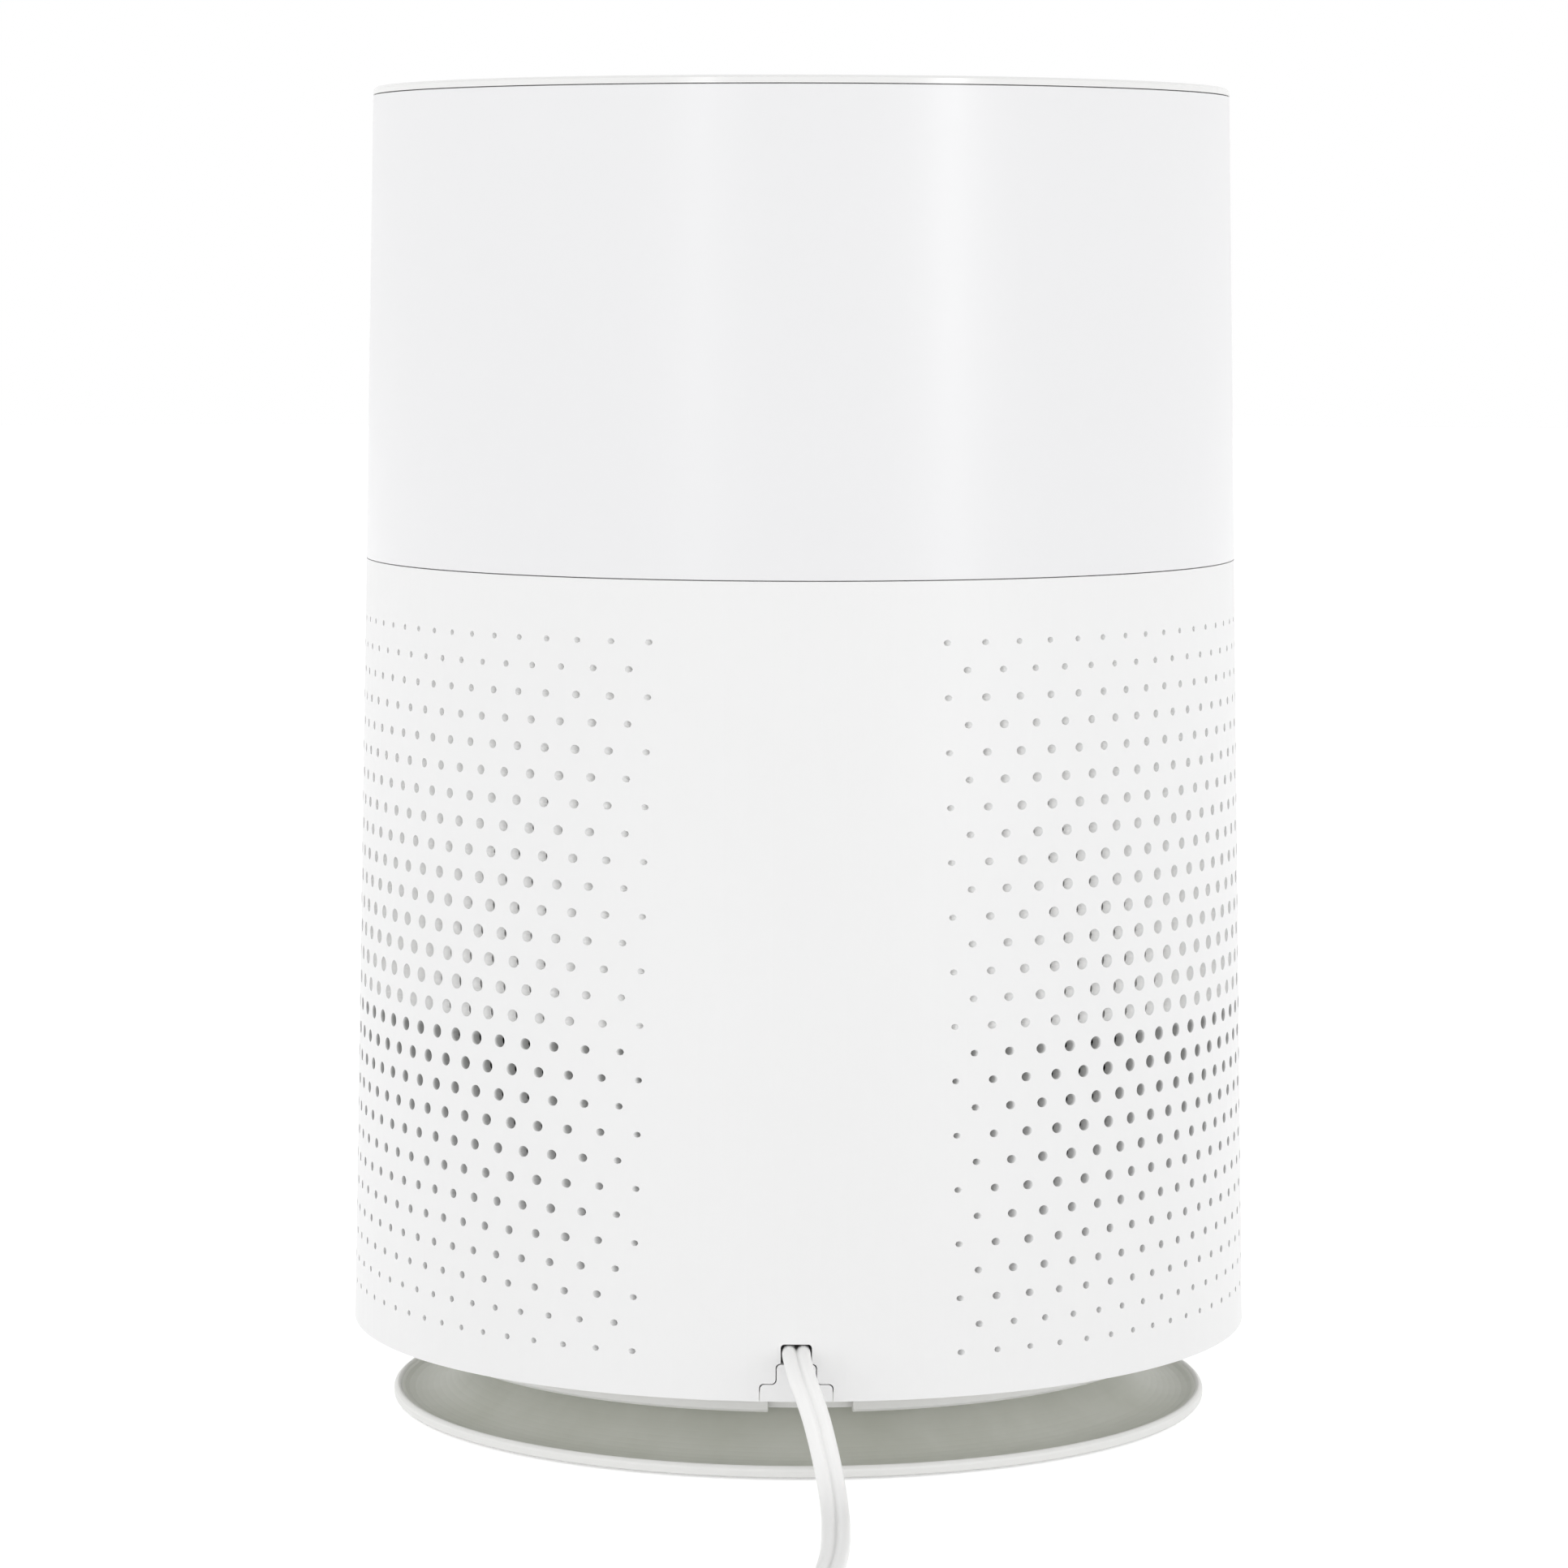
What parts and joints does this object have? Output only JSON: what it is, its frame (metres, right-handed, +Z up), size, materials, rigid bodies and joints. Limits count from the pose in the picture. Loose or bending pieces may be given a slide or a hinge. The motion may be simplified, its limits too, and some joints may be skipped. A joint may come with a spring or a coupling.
{
  "type": "air purifier",
  "caption": "Round white air purifier with a graded perforated intake sleeve, ring outlet around a button panel, twist-off base and flat power cord.",
  "frame": {"origin": "on the floor under the middle of the base", "axes": "+Z up along the body's axis; the cord leaves the body at -Y"},
  "size_m": [0.2494, 0.5017, 0.3644],
  "materials": {
    "sleeve_white": "satin moulded",
    "shell_white": "glossy moulded",
    "trim_white": "glossy moulded",
    "inner_white": "fine matt",
    "base_grey": "fine matt",
    "grille_white": "satin moulded",
    "panel": "glossy",
    "button": "satin",
    "light": "frosted",
    "lens": "glossy",
    "pad_rubber": "matt",
    "seal_foam": "foam",
    "filter_paper": "pleated paper",
    "filter_mesh": "fine mesh",
    "filter_cap": "matt",
    "filter_core": "matt",
    "tab": "woven",
    "steel": "zinc plated",
    "motor": "painted",
    "fan_grey": "matt",
    "board": "solder mask",
    "components": "mixed",
    "switch": "matt",
    "wire_brown": "insulation",
    "wire_red": "insulation",
    "cord_white": "satin",
    "blade_brass": "nickel over brass"
  },
  "bodies": {
    "housing": {"floor_ring": "inner_white", "floor_screws": "steel", "sleeve": "sleeve_white", "sleeve_front": "sleeve_white", "cord_plate": "sleeve_white", "cord_clamp": "inner_white", "clamp_screws": "steel", "inner_liner": "inner_white", "inlet_guard": "inner_white", "inlet_bell": "inner_white", "bell_screws": "steel", "motor_mount": "inner_white", "mount_screws": "steel", "motor_grommets": "pad_rubber", "motor_body": "motor", "motor_screws": "steel", "pod_shell": "inner_white", "power_board": "board", "power_parts": "components", "control_board": "board", "tact_switches": "switch", "mains_wires": "wire_brown", "motor_wires": "wire_red", "upper_shell": "shell_white", "shell_screws": "steel", "grille_shelf": "inner_white", "top_rim": "trim_white", "outlet_grille": "grille_white", "light_ring": "light", "control_panel": "panel", "display_lens": "lens", "power_cord": "cord_white", "cord_coil": "cord_white", "plug_body": "cord_white", "plug_blades": "blade_brass"},
    "base": {"base_dish": "base_grey", "foot_pads": "pad_rubber", "bottom_cover": "inner_white", "base_screws": "steel", "filter_cap_bottom": "filter_cap", "filter_floor": "filter_cap", "filter_tab": "tab", "filter_media": "filter_paper", "filter_core": "filter_core", "prefilter": "filter_mesh", "filter_cap_top": "filter_cap", "filter_seal": "seal_foam"},
    "fan": {"impeller": "fan_grey", "motor_shaft": "steel", "impeller_nut": "steel"},
    "button_power": {"button_power": "button"},
    "button_speed": {"button_speed": "button"},
    "button_timer": {"button_timer": "button"},
    "button_light": {"button_light": "button"},
    "button_reset": {"button_reset": "button"}
  },
  "joints": [
    {"name": "base_turn", "type": "hinge", "parent": "housing", "child": "base", "pos_m": [0, 0, 0.016], "axis": [0, 0, 1], "range_deg": [0, 18]},
    {"name": "fan_spin", "type": "hinge", "parent": "housing", "child": "fan", "pos_m": [0, 0, 0.18], "axis": [0, 0, 1], "continuous": true},
    {"name": "button_power_press", "type": "slide", "parent": "housing", "child": "button_power", "axis": [0, 0, -1], "range_m": [0, 0.0008], "stiffness_N_per_m": 800, "springref_m": -0.0006},
    {"name": "button_speed_press", "type": "slide", "parent": "housing", "child": "button_speed", "axis": [0, 0, -1], "range_m": [0, 0.0008], "stiffness_N_per_m": 800, "springref_m": -0.0006},
    {"name": "button_timer_press", "type": "slide", "parent": "housing", "child": "button_timer", "axis": [0, 0, -1], "range_m": [0, 0.0008], "stiffness_N_per_m": 800, "springref_m": -0.0006},
    {"name": "button_light_press", "type": "slide", "parent": "housing", "child": "button_light", "axis": [0, 0, -1], "range_m": [0, 0.0008], "stiffness_N_per_m": 800, "springref_m": -0.0006},
    {"name": "button_reset_press", "type": "slide", "parent": "housing", "child": "button_reset", "axis": [0, 0, -1], "range_m": [0, 0.0008], "stiffness_N_per_m": 800, "springref_m": -0.0006}
  ]
}
